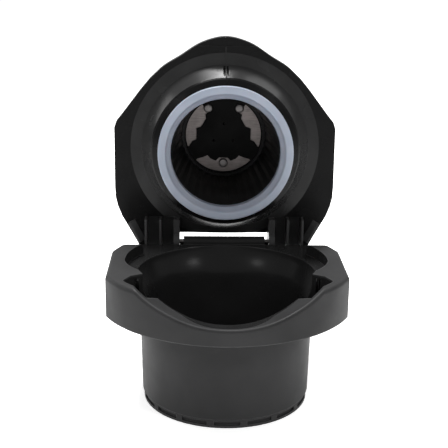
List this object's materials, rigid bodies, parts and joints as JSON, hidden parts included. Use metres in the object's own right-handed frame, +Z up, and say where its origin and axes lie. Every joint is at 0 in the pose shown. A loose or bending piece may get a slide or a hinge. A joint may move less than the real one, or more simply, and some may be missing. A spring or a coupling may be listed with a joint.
{
  "type": "capsule adapter holder",
  "caption": "Hinged holder that clamps a coffee capsule between a lid chamber with a soft ring and a flanged cup with an outlet ring.",
  "frame": {"origin": "cup axis at the resting plane, centre of the outlet ring's mouth", "axes": "+X right seen from the scooped front, +Y towards the hinge, +Z up out of the cup; the lid stands open at rest"},
  "size_m": [0.0628, 0.0893, 0.0919],
  "materials": {
    "body_plastic": "fine matte moulded charcoal plastic",
    "lid_plastic": "satin to glossy black plastic",
    "chamber_plastic": "black plastic, lightly worn",
    "silicone": "milky bluish silicone",
    "black_rubber": "black rubber",
    "steel_sheet": "stamped stainless sheet",
    "steel_pin": "turned stainless wire"
  },
  "bodies": {
    "holder": {"holder_body": "body_plastic", "outlet_ring": "body_plastic", "screen_seal": "black_rubber", "outlet_screen": "steel_sheet", "hinge_pin": "steel_pin"},
    "lid": {"lid_shell": "lid_plastic", "rear_housing": "lid_plastic", "capsule_chamber": "chamber_plastic", "seal_ring": "silicone", "piercing_plate": "steel_sheet", "retaining_spider": "chamber_plastic", "inlet_cap": "lid_plastic", "inlet_seal": "black_rubber", "stake_pin_1": "steel_pin", "stake_pin_2": "steel_pin", "stake_pin_3": "steel_pin"}
  },
  "joints": [
    {"name": "lid_hinge", "type": "hinge", "parent": "holder", "child": "lid", "pos_m": [0, 0.0267, 0.0342], "axis": [1, 0, 0], "range_deg": [0, 90]}
  ]
}
